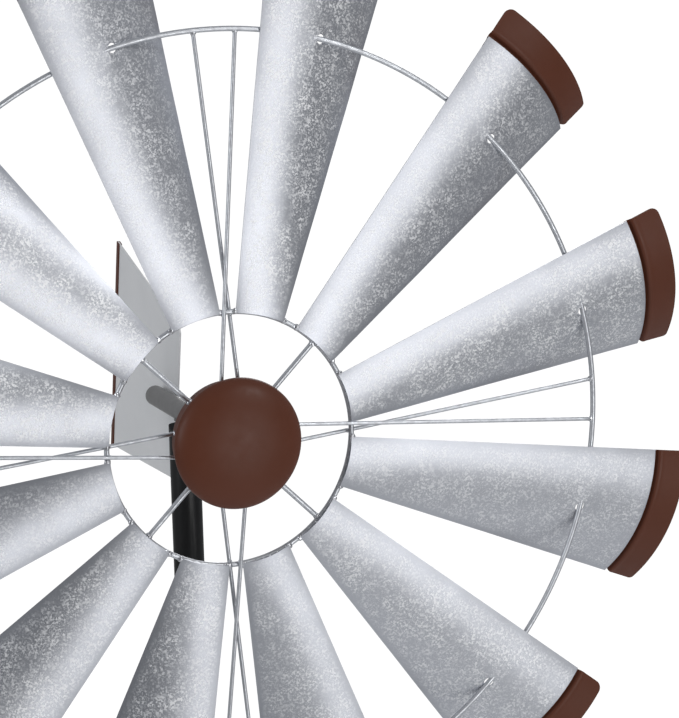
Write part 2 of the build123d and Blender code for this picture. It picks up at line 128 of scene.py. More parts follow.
class Recipe:
    """A material being wired up: short names for the few nodes that every recipe uses."""

    def __init__(self, name):
        self.material = bpy.data.materials.new(name)
        self.material.use_nodes = True
        self.tree = self.material.node_tree
        self.shader = self.tree.nodes["Principled BSDF"]
        self.place = self.node("ShaderNodeTexCoord").outputs["Object"]

    def node(self, kind, **settings):
        made = self.tree.nodes.new(kind)
        for key, value in settings.items():
            setattr(made, key, value)
        return made

    def link(self, source, target):
        self.tree.links.new(source, target)

    def noise(self, scale, detail=3, roughness=0.55):
        made = self.node("ShaderNodeTexNoise")
        made.inputs["Scale"].default_value = scale
        made.inputs["Detail"].default_value = detail
        made.inputs["Roughness"].default_value = roughness
        self.link(self.place, made.inputs["Vector"])
        return made.outputs["Fac"]

    def cells(self, scale):
        made = self.node("ShaderNodeTexVoronoi")
        made.inputs["Scale"].default_value = scale
        self.link(self.place, made.inputs["Vector"])
        apart = self.node("ShaderNodeSeparateColor")
        self.link(made.outputs["Color"], apart.inputs["Color"])
        return apart.outputs["Red"]

    def spread(self, value, low, high, out_low, out_high):
        made = self.node("ShaderNodeMapRange")
        numbers = (low, high, out_low, out_high)
        for name, number in zip(RANGE_SOCKETS, numbers):
            made.inputs[name].default_value = number
        self.link(value, made.inputs["Value"])
        return made.outputs["Result"]

    def combine(self, operation, first, second):
        made = self.node("ShaderNodeMath", operation=operation)
        for socket, value in zip(made.inputs, (first, second)):
            if isinstance(value, (int, float)):
                socket.default_value = value
            else:
                self.link(value, socket)
        return made.outputs["Value"]

    def ramp(self, value, *stops):
        made = self.node("ShaderNodeValToRGB")
        elements = made.color_ramp.elements
        while len(elements) < len(stops):
            elements.new(0.5)
        for element, (position, colour) in zip(elements, stops):
            element.position = position
            element.color = (*colour, 1)
        self.link(value, made.inputs["Fac"])
        return made.outputs["Color"]

    def bump(self, value, distance, strength=1.0):
        made = self.node("ShaderNodeBump")
        made.inputs["Distance"].default_value = distance
        made.inputs["Strength"].default_value = strength
        self.link(value, made.inputs["Height"])
        self.link(made.outputs["Normal"], self.shader.inputs["Normal"])

    def set(self, **values):
        for name, value in values.items():
            self.shader.inputs[name.replace("_", " ")].default_value = value

    def feed(self, name, value):
        self.link(value, self.shader.inputs[name])


def galvanised(name, bright, dark):
    """Spangled zinc: fine random flecks in cloudy patches, fading out along the sheet's edges."""
    recipe = Recipe(name)
    flecks = recipe.spread(recipe.cells(950), 0.66, 0.82, 0, 1)
    grain = recipe.spread(recipe.noise(1300, 2, 0.7), 0.52, 0.6, 0, 0.8)
    cloud = recipe.spread(recipe.noise(60, 6, 0.7), 0.30, 0.56, 0.1, 1)
    edge = recipe.node("ShaderNodeAttribute", attribute_name="spangle").outputs["Fac"]
    cloud = recipe.combine("MULTIPLY", cloud, edge)
    both = recipe.combine("MAXIMUM", flecks, grain)
    amount = recipe.combine("MULTIPLY", cloud, both)
    recipe.feed("Base Color", recipe.ramp(amount, (0, dark), (1, bright)))
    recipe.feed("Roughness", recipe.spread(amount, 0, 1, 0.34, 0.58))
    recipe.bump(amount, 0.00004, 0.4)
    recipe.set(Metallic=0.8)
    return recipe.material


def paint(name, colour, worn, roughness, coat):
    """Sprayed paint with faint mottling and a fine orange-peel surface."""
    recipe = Recipe(name)
    patches = recipe.noise(26, 4)
    recipe.feed("Base Color", recipe.ramp(patches, (0.3, colour), (0.75, worn)))
    blotches = recipe.noise(160, 3)
    recipe.feed("Roughness", recipe.spread(blotches, 0.3, 0.7, roughness - 0.05, roughness + 0.07))
    recipe.bump(recipe.noise(1400, 2), 0.00004, 0.4)
    recipe.shader.inputs["Specular IOR Level"].default_value = 0.2
    recipe.shader.inputs["Coat Weight"].default_value = coat
    recipe.shader.inputs["Coat Roughness"].default_value = 0.25
    return recipe.material


def plain_metal(name, colour, worn, roughness):
    """Turned or plated metal with fine scuffs."""
    recipe = Recipe(name)
    scuffs = recipe.noise(300, 4)
    recipe.feed("Base Color", recipe.ramp(scuffs, (0.3, colour), (0.8, worn)))
    recipe.feed("Roughness", recipe.spread(scuffs, 0.3, 0.7, roughness, roughness + 0.15))
    recipe.bump(scuffs, 0.00002, 0.3)
    recipe.set(Metallic=1.0)
    return recipe.material


ZINC_SHEET = galvanised("galvanised_sheet", (0.95, 0.955, 0.965), (0.475, 0.49, 0.53))
ZINC_WIRE = plain_metal("galvanised_wire", (0.66, 0.68, 0.71), (0.50, 0.51, 0.54), 0.38)
BROWN = paint("brown_paint", (0.108, 0.034, 0.018), (0.120, 0.038, 0.021), 0.40, 0.0)
PALE_GREY = paint("pale_grey_paint", (0.78, 0.785, 0.785), (0.84, 0.84, 0.84), 0.62, 0.0)
NYLON = paint("black_nylon", (0.010, 0.010, 0.010), (0.014, 0.014, 0.014), 0.55, 0.0)
DARK_GREY = paint("dark_grey_paint", (0.20, 0.195, 0.19), (0.25, 0.245, 0.24), 0.40, 0.1)
BLACK = paint("black_powder_coat", (0.008, 0.008, 0.008), (0.016, 0.016, 0.016), 0.38, 0.2)
PLATED = plain_metal("zinc_plate", (0.68, 0.69, 0.72), (0.50, 0.50, 0.53), 0.24)
BEARING = plain_metal("bearing_steel", (0.76, 0.76, 0.78), (0.62, 0.62, 0.64), 0.12)
BRONZE = plain_metal("sintered_bronze", (0.45, 0.27, 0.11), (0.30, 0.18, 0.08), 0.38)
WELD = plain_metal("weld_metal", (0.74, 0.75, 0.78), (0.38, 0.38, 0.40), 0.26)
SLOT_MATERIALS = {
    "galvanised_steel": ZINC_WIRE, "brown_paint": BROWN, "grey_paint": PALE_GREY,
    "dark_grey_paint": DARK_GREY, "black_powder_coat": BLACK, "zinc_plated_steel": PLATED,
    "bearing_steel": BEARING, "sintered_bronze": BRONZE, "black_nylon": NYLON,
}


def dress_cad_nodes():
    """Give every carried-over CAD node the material of its slot."""
    for entry in frame["record"]["subparts"]:
        for slot in frame["nodes"][entry["node"]].material_slots:
            slot.material = SLOT_MATERIALS[entry["material_slot"]]


# ---- mesh helpers ----------------------------------------------------------------------------
def piece(name, verts, faces, material, body, stands_for=(), sharp=40, attribute=None):
    """One visible piece: a mesh with smooth faces and sharp creases, riding on a body."""
    mesh = bpy.data.meshes.new(name)
    mesh.from_pydata([tuple(point) for point in verts], [], faces)
    if attribute:
        layer = mesh.attributes.new(attribute[0], "FLOAT", "POINT")
        layer.data.foreach_set("value", attribute[1])
    tidy = bmesh.new()
    tidy.from_mesh(mesh)
    bmesh.ops.recalc_face_normals(tidy, faces=tidy.faces)
    tidy.to_mesh(mesh)
    tidy.free()
    mesh.shade_smooth()
    mesh.set_sharp_from_angle(angle=radians(sharp))
    mesh.materials.append(material)
    made = bpy.data.objects.new(name, mesh)
    bpy.context.scene.collection.objects.link(made)
    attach(made, body)
    if stands_for:
        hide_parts(*stands_for)
    return made


class Shape:
    """Vertices and faces collected from several closed forms."""

    def __init__(self):
        self.verts = []
        self.faces = []

    def add(self, verts, faces):
        base = len(self.verts)
        self.verts.extend(verts)
        self.faces.extend(tuple(base + index for index in face) for face in faces)

    def loops(self, rings, closed=False, caps=True):
        """Skin a row of equal rings of points, with flat caps or closed on itself."""
        count = len(rings[0])
        verts = [point for ring in rings for point in ring]
        faces = []
        rows = len(rings)
        for row in range(rows if closed else rows - 1):
            after = (row + 1) % rows
            for index in range(count):
                beside = (index + 1) % count
                faces.append((row * count + index, row * count + beside,
                              after * count + beside, after * count + index))
        if caps and not closed:
            faces.append(tuple(range(count)))
            faces.append(tuple((rows - 1) * count + index for index in range(count)))
        self.add(verts, faces)


def rounded(points, radius, steps=4):
    """A closed outline with every corner rounded by an arc, as (a, b) pairs."""
    outline = []
    total = len(points)
    for index, (x, y) in enumerate(points):
        corner = Vector((x, y))
        before = Vector(points[index - 1]) - corner
        after = Vector(points[(index + 1) % total]) - corner
        angle = before.angle(after)
        reach = min(radius / tan(angle / 2), before.length * 0.45, after.length * 0.45)
        size = reach * tan(angle / 2)
        middle_way = (before.normalized() + after.normalized()).normalized()
        centre = corner + middle_way * (size / sin(angle / 2))
        start = corner + before.normalized() * reach - centre
        finish = corner + after.normalized() * reach - centre
        for step in range(steps + 1):
            share = step / steps
            arm = start.normalized().slerp(finish.normalized(), share) * start.length
            outline.append((centre.x + arm.x, centre.y + arm.y))
    return outline


def turned_y(outline, centre, segments=96):
    """Rings for a closed outline of (radius, depth) turned about an axle along Y."""
    rings = []
    for index in range(segments):
        angle = 2 * pi * index / segments
        rings.append([centre + Vector((cos(angle) * r, d, sin(angle) * r)) for r, d in outline])
    return rings


def turned_z(outline, segments=64):
    """Rings for a closed outline of (radius, height) turned about the pole's axis."""
    rings = []
    for index in range(segments):
        angle = 2 * pi * index / segments
        rings.append([Vector((cos(angle) * r, sin(angle) * r, z)) for r, z in outline])
    return rings


def sleeve_outline(inner, outer, start, end, round_off):
    """The rounded rectangular section of a ring or tube."""
    return rounded([(inner, start), (outer, start), (outer, end), (inner, end)], round_off)


def tube(shape, path, radius, segments=16, closed=False, round_ends=True):
    """A round wire along a path of points, with domed ends."""
    tangents = []
    count = len(path)
    for index in range(count):
        before = path[(index - 1) % count] if closed or index else path[0]
        after = path[(index + 1) % count] if closed or index < count - 1 else path[-1]
        tangents.append((after - before).normalized())
    side = tangents[0].orthogonal().normalized()
    if closed:
        side = Vector((0, 1, 0))
    stations = [(point, tangent, radius) for point, tangent in zip(path, tangents)]
    if round_ends and not closed:
        dome = [(radius * 0.6 * share, radius * (0.25 + 0.75 * sin(share * pi / 2)))
                for share in (0, 0.4, 0.75, 1)]
        first = [(path[0] + tangents[0] * inset, tangents[0], size) for inset, size in dome]
        last = [(path[-1] - tangents[-1] * inset, tangents[-1], size) for inset, size in reversed(dome)]
        stations = first + stations[1:-1] + last
    rings = []
    for point, tangent, size in stations:
        side = (side - tangent * side.dot(tangent)).normalized()
        other = tangent.cross(side)
        ring = []
        for index in range(segments):
            angle = 2 * pi * index / segments
            ring.append(point + (side * cos(angle) + other * sin(angle)) * size)
        rings.append(ring)
    shape.loops(rings, closed=closed)


def lump(shape, centre, size, seed, squash=(1, 1, 1)):
    """An uneven bead of weld metal."""
    ball = bmesh.new()
    bmesh.ops.create_icosphere(ball, subdivisions=3, radius=1)
    verts = []
    for vert in ball.verts:
        swell = 1 + 0.28 * noise.noise(vert.co * 1.7 + Vector((seed * 3.1, seed, 0)))
        point = Vector((vert.co.x * squash[0], vert.co.y * squash[1], vert.co.z * squash[2])) * size * swell
        verts.append(centre + point)
    faces = [tuple(vert.index for vert in face.verts) for face in ball.faces]
    ball.free()
    shape.add(verts, faces)


# ---- wheel geometry --------------------------------------------------------------------------
def wheel_point(angle, outward, sideways, depth):
    """A point of the wheel from its radius, anticlockwise offset and depth."""
    turn = radians(angle)
    x = cos(turn) * outward - sin(turn) * sideways
    z = sin(turn) * outward + cos(turn) * sideways
    return HUB + Vector((x, depth, z))


def blade_angles():
    """The blades' numbers and angles."""
    for index in range(BLADE_COUNT):
        even = FIRST_BLADE_ANGLE + index * 360 / BLADE_COUNT
        yield index + 1, even - WELD_DRIFT * cos(radians(even))


def section_arc(distance):
    """Centre, radius and end angles of the blade's arc at a distance from the axle."""
    share = (distance - ROOT_X) / (TIP_X - ROOT_X)
    half = ROOT_HALF_CHORD + share * (TIP_HALF_CHORD - ROOT_HALF_CHORD)
    leading = Vector((half, -(ROOT_DEPTH + share * (LEADING_TIP_DEPTH - ROOT_DEPTH))))
    trailing = Vector((-half, -(ROOT_DEPTH + share * (TRAILING_TIP_DEPTH - ROOT_DEPTH))))
    run = leading - trailing
    rise = (ROOT_CAMBER + share * (TIP_CAMBER - ROOT_CAMBER)) * run.length
    radius = (run.length ** 2 / 4 + rise ** 2) / (2 * rise)
    forward = Vector((-run.y, run.x)).normalized()
    centre = (leading + trailing) / 2 - forward * (radius - rise)
    start = atan2(trailing.y - centre.y, trailing.x - centre.x)
    end = atan2(leading.y - centre.y, leading.x - centre.x)
    return centre, radius, start, end


def sheet_point(radius, across, setback):
    """(outward, sideways, depth) at a distance from the axle; across runs from trailing -1 to leading 1."""
    outward = radius
    for _ in range(4):
        centre, arc_r, start, end = section_arc(outward)
        angle = start + (end - start) * (across + 1) / 2
        sideways = centre.x + (arc_r - setback) * cos(angle)
        forward = centre.y + (arc_r - setback) * sin(angle)
        outward = sqrt(radius ** 2 - sideways ** 2)
    return Vector((outward, sideways, -forward))


def half_arc(radius):
    """Half the length of the blade's arc at a distance from the axle."""
    centre, arc_r, start, end = section_arc(radius)
    return abs(end - start) * arc_r / 2


def thick_sheet(points, normals, faces, thickness):
    """Front and back skins and the rim between them."""
    count = len(points)
    verts = [point + normal * thickness / 2 for point, normal in zip(points, normals)]
    verts += [point - normal * thickness / 2 for point, normal in zip(points, normals)]
    skin = list(faces) + [tuple(count + index for index in reversed(face)) for face in faces]
    uses = {}
    for face in faces:
        for first, second in zip(face, face[1:] + face[:1]):
            uses.setdefault(frozenset((first, second)), []).append((first, second))
    for pair in uses.values():
        if len(pair) == 1:
            first, second = pair[0]
            skin.append((second, first, count + first, count + second))
    return verts, skin


def normal_at(surface, row, column, step):
    """The forward normal of a surface given by a function of two parameters."""
    here = surface(row, column)
    along = surface(row + step[0], column) - here
    across = surface(row, column + step[1]) - here
    normal = along.cross(across).normalized()
    return -normal if normal.z > 0 else normal


def dimple(radius, across):
    """How far back the sheet is pressed beside the ring's hole: the ring runs behind, then in front."""
    side = across * half_arc(OUTER_RING_R)
    away = (radius - OUTER_RING_R) / (5.5 * MM)
    reach = 0.4 * MM * exp(-(side / (6 * MM)) ** 2)
    ease = min(1.0, abs(side) / HOLE_R)
    return -reach * ease * exp(-away * away) * (1 if side > 0 else -1)


def blade_surface(radius, across):
    point = sheet_point(radius, across, 0)
    point.z += dimple(radius, across)
    return point


def spaced(low, high, count):
    return [low + (high - low) * index / count for index in range(count + 1)]


BLOCK = 8                        # cells each way that the round hole replaces
HOLE_RINGS = 4
ROWS_BELOW_HOLE = 46
ROWS_ABOVE_HOLE = 12
SIDE_COLUMNS = 16


def blade_grid():
    """Parameters and faces of the blade's sheet, with a round hole in the middle for the ring."""
    reach = HOLE_REACH
    rows = spaced(BLADE_INNER_R, OUTER_RING_R - reach, ROWS_BELOW_HOLE)[:-1]
    rows += spaced(OUTER_RING_R - reach, OUTER_RING_R + reach, BLOCK)
    rows += spaced(OUTER_RING_R + reach, BLADE_OUTER_R, ROWS_ABOVE_HOLE)[1:]
    gap = reach / half_arc(OUTER_RING_R)
    columns = spaced(-1, -gap, SIDE_COLUMNS)[:-1]
    columns += spaced(-gap, gap, BLOCK) + spaced(gap, 1, SIDE_COLUMNS)[1:]
    first_row, first_column = ROWS_BELOW_HOLE, SIDE_COLUMNS
    params = [(row, column) for row in rows for column in columns]
    width = len(columns)
    faces = []
    for i in range(len(rows) - 1):
        for j in range(width - 1):
            if first_row <= i < first_row + BLOCK and first_column <= j < first_column + BLOCK:
                continue
            faces.append((i * width + j, i * width + j + 1, (i + 1) * width + j + 1, (i + 1) * width + j))
    edge = [(0, k) for k in range(BLOCK)] + [(k, BLOCK) for k in range(BLOCK)]
    edge += [(BLOCK, BLOCK - k) for k in range(BLOCK)] + [(BLOCK - k, 0) for k in range(BLOCK)]
    last = [(first_row + i) * width + first_column + j for i, j in edge]
    rim = []
    for index in last:
        row, column = params[index]
        rim.append((row, column, atan2(row - OUTER_RING_R, column * half_arc(OUTER_RING_R))))
    for ring in range(1, HOLE_RINGS + 1):
        share = ring / HOLE_RINGS
        current = []
        for row, column, angle in rim:
            round_row = OUTER_RING_R + HOLE_R * sin(angle)
            round_column = HOLE_R * cos(angle) / half_arc(OUTER_RING_R)
            current.append(len(params))
            params.append((row + (round_row - row) * share, column + (round_column - column) * share))
        total = len(last)
        for k in range(total):
            after = (k + 1) % total
            faces.append((last[k], last[after], current[after], current[k]))
        last = current
    used = sorted({index for face in faces for index in face})
    place = {index: new for new, index in enumerate(used)}
    return [params[index] for index in used], [tuple(place[index] for index in face) for face in faces]


def edge_mask(radius, across):
    """1 inside the sheet and 0 along its rolled edges, where the zinc is smooth."""
    from_side = (1 - abs(across)) * half_arc(radius)
    from_end = min(radius - BLADE_INNER_R, BLADE_OUTER_R - radius)
    return max(0.0, min(1.0, (from_side - 1.5 * MM) / (5 * MM))) * max(0.0, min(1.0, from_end / (3 * MM)))


def build_blades():
    """Twelve sheets, each a little uneven in its own way."""
    params, faces = blade_grid()
    step = (0.2 * MM, 0.004)
    points = [blade_surface(*param) for param in params]
    normals = [normal_at(blade_surface, row, column, step) for row, column in params]
    mask = [edge_mask(*param) for param in params]
    for number, angle in blade_angles():
        dented = []
        for point, normal in zip(points, normals):
            wave = noise.noise(Vector((point.x * 22, point.y * 30, number * 7.3)))
            ripple = noise.noise(Vector((point.x * 70, point.y * 80, number * 3.7)))
            fade = min(1, (point.x - ROOT_X) / 0.03)
            dented.append(point + normal * (wave * 0.30 + ripple * 0.06) * MM * fade)
        verts, skin = thick_sheet(dented, normals, faces, SHEET)
        placed = [wheel_point(angle, point.x, point.y, point.z) for point in verts]
        shown = [value * (0.8 + 0.35 * noise.noise(Vector((number * 2.3, 0.5, 0)))) for value in mask]
        piece(f"blade_sheet_{number:02d}", placed, skin, ZINC_SHEET, "wheel",
              (f"blade_{number:02d}",), attribute=("spangle", shown + shown))


def tip_setback(radius):
    """The tip lies behind the blade, drops into a groove at the blade's end and rises flush beyond it."""
    stops = ((TIP_INNER_R, 0.82), (281 * MM, 0.82), (283.2 * MM, 2.6), (284.6 * MM, 2.8),
             (287 * MM, 0.1), (288 * MM, -0.15), (290 * MM, 0.0), (TIP_OUTER_R, 0.0))
    for (low, first), (high, second) in zip(stops, stops[1:]):
        if radius <= high:
            share = (radius - low) / (high - low)
            share = share * share * (3 - 2 * share)
            return (first + (second - first) * share) * MM
    return 0.0


def tip_surface(radius, across):
    return sheet_point(radius, across, tip_setback(radius))


def corner_cut(from_side, corner_r):
    """How far a rounded outer corner falls short of the full radius."""
    if from_side >= corner_r:
        return 0.0
    return corner_r - sqrt(max(0.0, corner_r ** 2 - (corner_r - from_side) ** 2))


def build_tips():
    """Twelve painted strips with rounded outer corners."""
    near = [index / 12 for index in range(13)]
    columns = [-1 + 0.14 * share * share for share in near] + spaced(-0.86, 0.86, 30)[1:-1]
    columns += [1 - 0.14 * share * share for share in reversed(near)]
    groove_rows = [276, 278, 280, 281, 281.8, 282.6, 283.2, 283.9, 284.6,
                   285.2, 285.8, 286.4, 287, 287.5, 288, 289, 290]
    params = []
    for value in groove_rows:
        params += [(value * MM, column) for column in columns]
    for share in spaced(0, 1, 10)[1:]:
        for column in columns:
            from_side = (1 - abs(column)) * half_arc(TIP_OUTER_R)
            corner_r = LEADING_CORNER_R if column > 0 else TRAILING_CORNER_R
            end = TIP_OUTER_R - corner_cut(from_side, corner_r)
            params.append((290 * MM + (end - 290 * MM) * share, column))
    width = len(columns)
    rows = len(params) // width
    faces = [(i * width + j, i * width + j + 1, (i + 1) * width + j + 1, (i + 1) * width + j)
             for i in range(rows - 1) for j in range(width - 1)]
    points = [tip_surface(*param) for param in params]
    normals = [normal_at(tip_surface, row, column, (-0.2 * MM, 0.004 if column < 0.9 else -0.004))
               for row, column in params]
    for number, angle in blade_angles():
        verts, skin = thick_sheet(points, normals, faces, SHEET)
        placed = [wheel_point(angle, point.x, point.y, point.z) for point in verts]
        piece(f"tip_strip_{number:02d}", placed, skin, BROWN, "wheel",
              (f"blade_tip_{number:02d}",), sharp=50)


def ring_path(radius, depth, segments, seed):
    """A nearly true circle, out of round by a few tenths of a millimetre as hand-bent wire is."""
    path = []
    for index in range(segments):
        angle = 360 * index / segments
        wobble = noise.noise(Vector((cos(radians(angle)) * 1.5, sin(radians(angle)) * 1.5, seed))) * 0.25 * MM
        path.append(wheel_point(angle, radius + wobble, 0, depth))
    return path


def build_rings():
    for name, radius, depth, segments in (("inner_ring", INNER_RING_R, 0, 180),
                                          ("outer_ring", OUTER_RING_R, OUTER_RING_DEPTH, 360)):
        shape = Shape()
        tube(shape, ring_path(radius, depth, segments, radius * 50), RING_WIRE_R, closed=True)
        piece(f"{name}_wire", shape.verts, shape.faces, ZINC_WIRE, "wheel", (name,))


def straight(start, end, steps=12):
    return [start.lerp(end, index / steps) for index in range(steps + 1)]


def build_wires():
    """The spokes and the crossing wires."""
    shape = Shape()
    for angle in SPOKE_ANGLES:
        start = wheel_point(angle, DRUM_R - DRUM_WALL, 0, 0)
        tube(shape, straight(start, wheel_point(angle, INNER_RING_R - 1.2 * MM, 0, 0)), RING_WIRE_R)
    piece("spoke_wires", shape.verts, shape.faces, ZINC_WIRE, "wheel", ("ring_spokes",))
    for side, name in ((-1, "front_cross_wires"), (1, "rear_cross_wires")):
        shape = Shape()
        for start, end in cross_wire_ends(side):
            tube(shape, straight(start, end, 30), CROSS_WIRE_R, segments=12)
        piece(f"{name[:-1]}_set", shape.verts, shape.faces, ZINC_WIRE, "wheel", (name,))


def cross_wire_ends(side):
    """End points of the four wires that pass in front of (-1) or behind (1) the inner ring."""
    pass_depth = side * (RING_WIRE_R + CROSS_WIRE_R)
    slope = (OUTER_RING_DEPTH - pass_depth) / (OUTER_RING_R - INNER_RING_R)
    hub_r = DRUM_R - DRUM_WALL
    hub_depth = pass_depth - slope * (INNER_RING_R - hub_r)
    ends = []
    for angle in WIRE_ANGLES:
        start = wheel_point(angle, hub_r, -side * CROSS_HUB_OFFSET, hub_depth)
        reach = sqrt((OUTER_RING_R - 1.3 * MM) ** 2 - CROSS_RING_OFFSET ** 2)
        ends.append((start, wheel_point(angle, reach, side * CROSS_RING_OFFSET, OUTER_RING_DEPTH)))
    return ends


def build_welds():
    """Tack welds at the blade roots, the wire ends and the spokes."""
    shape = Shape()
    for number, angle in blade_angles():
        for corner in (-1, 1):
            swing = degrees(asin(ROOT_HALF_CHORD / INNER_RING_R)) * corner
            for bead in range(4):
                along = angle + swing * (1 - 0.10 * bead)
                uneven = 1 + 0.2 * noise.noise(Vector((number, corner, bead)))
                size = (1.7, 1.35, 1.1, 0.8)[bead] * MM * uneven
                place = wheel_point(along, INNER_RING_R + 0.3 * MM, 0, -1.3 * MM)
                lump(shape, place, size, number * 5 + bead + corner, (1.1, 0.8, 1.1))
        for bead in range(4):
            along = angle + (bead - 1.5) * 3.6
            place = wheel_point(along, INNER_RING_R - 0.2 * MM, 0, -1.2 * MM)
            lump(shape, place, 0.75 * MM, number * 9 + bead)
    for side in (-1, 1):
        for count, (start, end) in enumerate(cross_wire_ends(side)):
            lump(shape, end, 1.7 * MM, count + side * 11, (1, 0.9, 1))
            lump(shape, start, 1.8 * MM, count + side * 17)
            crossing = start.lerp(end, (INNER_RING_R - DRUM_R) / (OUTER_RING_R - DRUM_R))
            lump(shape, crossing - Vector((0, side * 1.2 * MM, 0)), 1.3 * MM, count + side * 23)
    for angle in SPOKE_ANGLES:
        lump(shape, wheel_point(angle, INNER_RING_R - 1.8 * MM, 0, 0), 2.0 * MM, angle, (1, 0.95, 1))
        lump(shape, wheel_point(angle, DRUM_R, 0, 0), 2.2 * MM, angle + 3)
    piece("tack_welds", shape.verts, shape.faces, WELD, "wheel")


# ---- hub -------------------------------------------------------------------------------------
def depth_of(node, end):
    """Depth of a node's front (0) or back (1) face behind the inner ring's plane."""
    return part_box(node)[end][1] - HUB.y


def build_hub():
    cap_r = span("hub_cap").z / 2
    crown = depth_of("hub_cap", 0)
    skirt_end = depth_of("hub_cap", 1)
    rise = CAP_RIM - crown
    skirt = DRUM_R - DRUM_WALL
    outline = []
    for share in spaced(0.0, 1.0, 30):
        angle = share * pi / 2
        outline.append((cap_r * sin(angle) + 1e-5, CAP_RIM - rise * cos(angle)))
    for share in spaced(0.2, 1, 5):
        angle = share * pi / 2
        outline.append((cap_r - 0.6 * MM * (1 - cos(angle)), CAP_RIM + 0.6 * MM + 0.6 * MM * sin(angle)))
    outline += [(skirt, CAP_RIM + CAP_SHEET), (skirt, skirt_end), (skirt - CAP_SHEET, skirt_end)]
    for share in spaced(0.0, 1.0, 20):
        angle = asin((skirt - CAP_SHEET) / (cap_r - CAP_SHEET)) * (1 - share)
        outline.append(((cap_r - CAP_SHEET) * sin(angle) + 1e-5, CAP_RIM - (rise - CAP_SHEET) * cos(angle)))
    shape = Shape()
    shape.loops(turned_y(outline, HUB, 128), closed=True)
    piece("hub_dome", shape.verts, shape.faces, BROWN, "wheel", ("hub_cap",), sharp=50)
    front, back = depth_of("hub_drum", 0), depth_of("hub_drum", 1)
    barrel_r = span("hub_barrel").z / 2
    inside = DRUM_R - DRUM_WALL
    outline = rounded([(barrel_r, back - DRUM_WALL), (inside, back - DRUM_WALL), (inside, front),
                       (DRUM_R, front), (DRUM_R, back), (barrel_r, back)], 1.1 * MM)
    shape = Shape()
    shape.loops(turned_y(outline, HUB, 128), closed=True)
    piece("hub_cup", shape.verts, shape.faces, BROWN, "wheel", ("hub_drum",), sharp=50)
    shape = Shape()
    for index in range(40):
        angle = index * 9
        lump(shape, wheel_point(angle, barrel_r + 0.6 * MM, 0, back + 0.5 * MM), 1.6 * MM, index)
    piece("hub_weld", shape.verts, shape.faces, BROWN, "wheel")


# ---- boom and vane ---------------------------------------------------------------------------
def build_boom():
    front, back = depth_of("boom_tube", 0), depth_of("boom_tube", 1)
    radius = span("boom_tube").z / 2
    outline = [(1e-5, front), (radius, front), (radius, back - 3.5 * MM)]
    for share in spaced(0, 1, 8)[1:]:
        angle = share * pi / 2
        outline.append((radius - 3.5 * MM * (1 - cos(angle)), back - 3.5 * MM * (1 - sin(angle))))
    outline.append((1e-5, back))
    shape = Shape()
    shape.loops(turned_y(outline, HUB, 64), closed=True)
    piece("tail_boom", shape.verts, shape.faces, DARK_GREY, "head",
          ("boom_tube",), sharp=50)
    shape = Shape()
    stem_r = span("pivot_stem").x / 2
    for index in range(26):
        angle = radians(index * 360 / 26)
        lean = asin(min(1, abs(cos(angle)) * stem_r / radius))
        place = Vector((cos(angle) * stem_r, sin(angle) * stem_r, HUB.z - radius * cos(lean)))
        lump(shape, place - Vector((0, 0, 0.3 * MM)), 1.1 * MM, index)
    piece("stem_weld", shape.verts, shape.faces, DARK_GREY, "head")


VANE_ROLL = radians(2)
VANE_PITCH = radians(7)
VANE_NEAR = 120 * MM
VANE_FAR = 257 * MM
VANE_NEAR_HALF = 49.6 * MM
VANE_FAR_HALF = 71 * MM
VANE_RISE = -16.5 * MM
VANE_T = 1.0 * MM
TRIM_WIDTH = 5 * MM
TRIM_SHEET = 0.7 * MM


def vane_point(along, up, off):
    """A point of the vane: along its centreline, up in its plane and off its mid-plane."""
    across_dir = Vector((cos(VANE_ROLL), 0, -sin(VANE_ROLL)))
    up_dir = Vector((sin(VANE_ROLL), 0, cos(VANE_ROLL)))
    along_dir = Vector((0, cos(VANE_PITCH), 0)) + up_dir * sin(VANE_PITCH)
    high_dir = across_dir.cross(along_dir)
    origin = HUB + across_dir * (span("boom_tube").z / 2 + VANE_T / 2)
    return origin + along_dir * along + high_dir * up + across_dir * off


def vane_half(along):
    share = (along - VANE_NEAR) / (VANE_FAR - VANE_NEAR)
    return VANE_NEAR_HALF + (VANE_FAR_HALF - VANE_NEAR_HALF) * share


